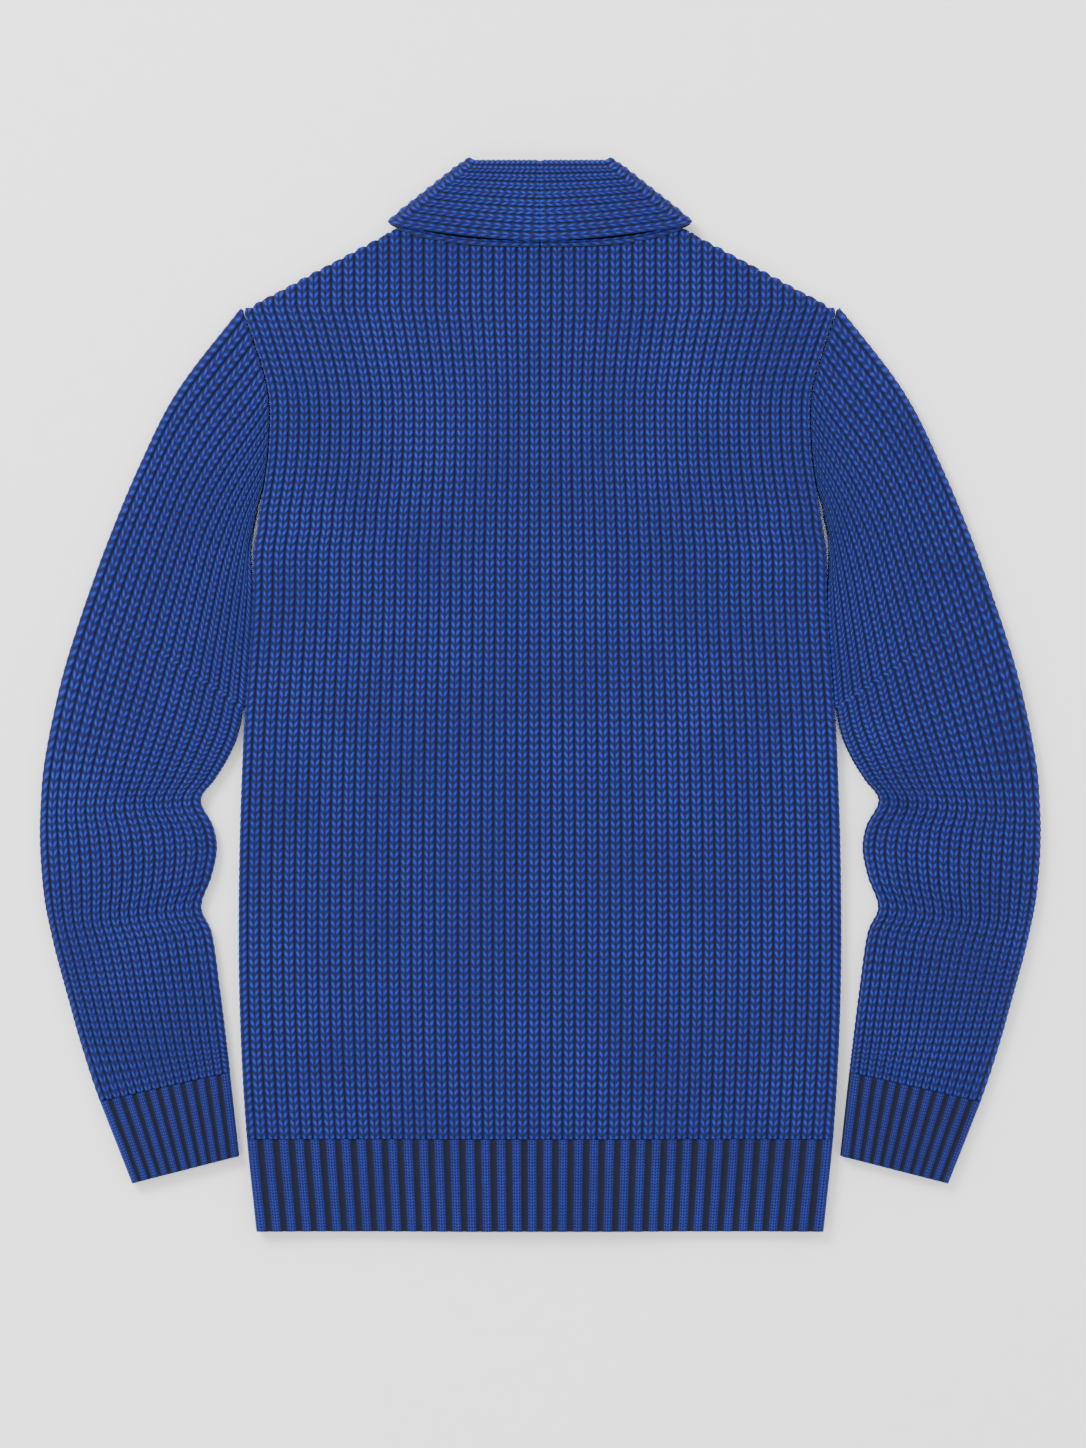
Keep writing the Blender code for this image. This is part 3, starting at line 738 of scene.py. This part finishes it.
# %% Collar skins
ACROSS = 52  # grid places over the stand, and over the fall
ROLL = 8  # over the roll between them
BACK_SECTIONS = 60
FRONT_SECTIONS = 120
GROOVE = 0.0013  # depth of the seam of the centre back
GROOVE_REACH = 0.0020
COLLAR_RELIEF = 0.0014


def collar_relief(wale, row, depth):
    """The stitches, less a groove that dies away GROOVE_REACH from the seam of the centre back."""
    return stitch_relief(wale, row, depth) - GROOVE * np.exp(-(row * ROW / GROOVE_REACH) ** 2)


def collar_skin(side, word):
    """Half of the collar: from the centre back it runs to the neck side, turns under there with the
    flattened neck loop, and goes down the front as the lapel. Across, it goes from the neck seam over
    the stand to the roll, and back over the fall to its free edge."""
    strip = np.linspace(0, 1, ACROSS)
    flat = np.zeros(ACROSS)
    roll_angle = np.radians(np.linspace(-90, 90, ROLL + 2)[1:-1])
    across = np.concatenate([strip - 1, np.zeros(ROLL), strip])
    roll_r = STAND_R + ROLL_R * (1 + np.sin(roll_angle))
    radius = np.concatenate([flat + STAND_R, roll_r, flat + FALL_R])
    bulge = ROLL_R * np.concatenate([flat, np.cos(roll_angle), flat])
    # Where the loop turns: the neck seam, the roll and the free edge at the neck side
    seam_side, roll_side, edge_side = np.array((NECK_SIDE, ROLL_SIDE, EDGE_SIDE))

    def between(seam, roll, edge):
        """Points from the seam (-1) by the roll (0) to the free edge (1), for each section."""
        to_seam = np.clip(-across, 0, 1)[None, :, None]
        to_edge = np.clip(across, 0, 1)[None, :, None]
        seam, roll, edge = (np.atleast_2d(part)[:, None, :] for part in (seam, roll, edge))
        return roll + (seam - roll) * to_seam + (edge - roll) * to_edge

    back_at = np.linspace(0, 1, BACK_SECTIONS)[:, None]
    back_x = -SEAM + (roll_side[0] + SEAM) * back_at
    seam_x = -SEAM + (seam_side[0] + SEAM) * back_at
    back = between(
        np.hstack([seam_x, neck_y(seam_x) + 2 * SEAM]),
        np.hstack([back_x, COLLAR_TOP_Y + (roll_side[1] - COLLAR_TOP_Y) * back_at**3]),
        np.hstack([seam_x, COLLAR_EDGE_Y + (edge_side[1] - COLLAR_EDGE_Y) * back_at**1.6]),
    )
    turn_angle = np.radians(np.linspace(0, 180, 16)[1:-1])
    turned = np.repeat(between(seam_side, roll_side, edge_side), len(turn_angle), axis=0)
    rows = np.array(((*seam_side, *roll_side, *edge_side),) + LAPEL)
    station = np.arange(len(rows))
    front_at = np.linspace(0, len(rows) - 1, FRONT_SECTIONS)
    read = np.stack([through(front_at, station, column) for column in rows.T], axis=1)
    read[1:-1, 0] -= SEAM
    front = between(read[:, :2], read[:, 2:4], read[:, 4:])
    plan = np.concatenate([back, turned, front])
    angle = np.concatenate([np.zeros(BACK_SECTIONS), turn_angle, np.full(len(read), np.pi)])
    # Outward at the neck side is square to the slope there, and swings round at its two ends
    swing = np.radians(53 - 26 * smooth_step(np.abs(across - 0.5), 0.28, 0.5) * (across >= 0))
    outward = np.stack([np.cos(swing), np.sin(swing)], axis=-1)[None]
    lean = np.radians(90 + 80 * smooth_step(angle, 0, np.pi))
    rolled = np.stack([np.cos(lean), np.sin(lean)], axis=-1)[:, None, :] * bulge[None, :, None]
    plan = plan + rolled + outward * (radius * np.sin(angle)[:, None])[..., None]
    z = LOOP_Z + radius * np.cos(angle)[:, None]
    points = np.concatenate([plan, z[..., None]], axis=-1)
    step = np.linalg.norm(np.diff(points[:, -30], axis=0), axis=-1)
    row = np.broadcast_to(np.concatenate([[0], np.cumsum(step)])[:, None] / ROW, points.shape[:2])
    run = np.linalg.norm(np.diff(points[0], axis=0), axis=-1)
    wale = np.concatenate([[0], np.cumsum(run)])[None, :] / COLLAR_WALE
    wale = np.broadcast_to(wale, points.shape[:2])
    if side < 0:
        points = points * (-1, 1, 1)
    outward = np.sign(normals_of(points, False)[5, -20, 2])  # the fall of the back looks up
    name = f"collar_{word}"
    return knit(
        f"{name}_knit", name, points, wale, row, collar_relief, COLLAR_RELIEF, collar_wool, outward,
    )


# %% Band skins
BAND_RIBS = 5
BAND_ROWS = 270
BAND_RELIEF = 0.0010
BUTTON_HOLLOW = 0.0029  # how far a button presses the outer band in


def band_skin(side, word):
    """A front band, flat, with the buttons' hollows left under it."""
    y = np.linspace(HEM_Y, ROLL_END_Y - SEAM, BAND_ROWS)[None, :]
    table = np.transpose(BAND)
    seam, edge = through(y, table[0], table[1]), through(y, table[0], table[2])
    share = np.linspace(0, 1, BAND_RIBS * PER_RIB + 1)[:, None]
    x = edge + (seam - edge) * share
    z = front_height(np.abs(x), y, 1 if side > 0 else 0)
    middle = np.stack(np.broadcast_arrays(x, y, z), axis=-1)
    if side < 0:
        for number in range(BUTTON_COUNT):
            away = np.hypot(x, y - BUTTON_Y + BUTTON_STEP * number)
            middle[..., 2] += BUTTON_HOLLOW * (1 - smooth_step(away, 0.0128, 0.0158))
        middle = middle[::-1] * (-1, 1, 1)
    wale = np.broadcast_to(np.arange(len(share))[:, None] / PER_RIB, middle.shape[:2])
    name = f"front_band_{word}"
    row = middle[..., 1] / RIB_ROW
    return knit(
        f"{name}_knit", name, middle, wale, row, rib_relief, BAND_RELIEF, hem_wool, -1
    )


for side, word in SIDES:
    collar_skin(side, word)
    band_skin(side, word)

# %% [markdown]
# ## Buttons
#
# The solids have the right shape, so they keep it and get a finish: dark blue polyester with a faint
# cloud in its colour and small scratches that only show in the gloss.

# %% Button finish
button_finish, tree, shader = start("button_blue", 0.3)
coords = tree.nodes.new("ShaderNodeTexCoord")
at = Value(tree, coords.outputs["Object"])
cloud = at.node("ShaderNodeTexNoise", {}, {"Vector": at, "Scale": 160.0, "Detail": 4.0})
scratch = at.node("ShaderNodeTexNoise", {}, {"Vector": at, "Scale": 1800.0, "Detail": 2.0})
button_colour = mix(cloud.step(0.35, 0.7), (0.004, 0.010, 0.065, 1), (0.010, 0.022, 0.140, 1))
tree.links.new(button_colour.socket, shader.inputs["Base Color"])
tree.links.new(scratch.step(0.3, 0.8, 0.22, 0.42).socket, shader.inputs["Roughness"])
for number in range(BUTTON_COUNT):
    node = bpy.data.objects[f"button_{number + 1}"]
    node.data.materials.clear()
    node.data.materials.append(button_finish)
print(BUTTON_COUNT, "buttons")

# %% [markdown]
# ## Ground, light and camera
#
# The cardigan is laid on pale ground and seen from straight above. One large soft light stands to the
# upper left, so short soft shadows fall to the lower right, and a pale sky fills the valleys.

# %% Stage
FLOOR_SIDE = 6.0
KEY_POWER = 120
KEY_SIZE = 1.1
SKY = 2.0
bpy.ops.mesh.primitive_plane_add(size=FLOOR_SIDE, location=(0, 0, 0))
floor = bpy.context.object
floor.name = "ground"
paper, tree, shader = start("ground_paper", 0.9)
coords = tree.nodes.new("ShaderNodeTexCoord")
at = Value(tree, coords.outputs["Object"])
grain = at.node("ShaderNodeTexNoise", {}, {"Vector": at, "Scale": 60.0, "Detail": 3.0})
ground = mix(grain, (0.86, 0.86, 0.855, 1), (0.90, 0.90, 0.895, 1))
tree.links.new(ground.socket, shader.inputs["Base Color"])
floor.data.materials.append(paper)


def area_light(name, place, size, power):
    """A square light at place, aimed at the cardigan's middle."""
    data = bpy.data.lights.new(name, "AREA")
    data.size, data.energy = size, power
    made = bpy.data.objects.new(name, data)
    made.location = place
    to_middle = -np.array(place)
    made.rotation_euler = (
        float(np.arccos(-to_middle[2] / np.linalg.norm(to_middle))), 0,
        float(np.arctan2(to_middle[1], to_middle[0]) - np.pi / 2),
    )
    bpy.context.scene.collection.objects.link(made)


area_light("key", (-1.5, 1.6, 2.2), KEY_SIZE, KEY_POWER)
world = bpy.data.worlds.new("sky")
world.use_nodes = True
world.node_tree.nodes["Background"].inputs["Color"].default_value = (1, 1, 1, 1)
world.node_tree.nodes["Background"].inputs["Strength"].default_value = SKY
bpy.context.scene.world = world

# %% Camera
VIEW_HEIGHT = 1.0426  # of what the frame takes in
CAMERA_Z = 3.0
SENSOR = 36
camera_data = bpy.data.cameras.new("camera")
camera_data.sensor_width = SENSOR
camera_data.lens = SENSOR * CAMERA_Z / VIEW_HEIGHT
camera = bpy.data.objects.new("camera", camera_data)
camera.location = (0.0022, -0.0202, CAMERA_Z)
bpy.context.scene.collection.objects.link(camera)
bpy.context.scene.camera = camera
print("lens", round(camera_data.lens, 1), "mm")
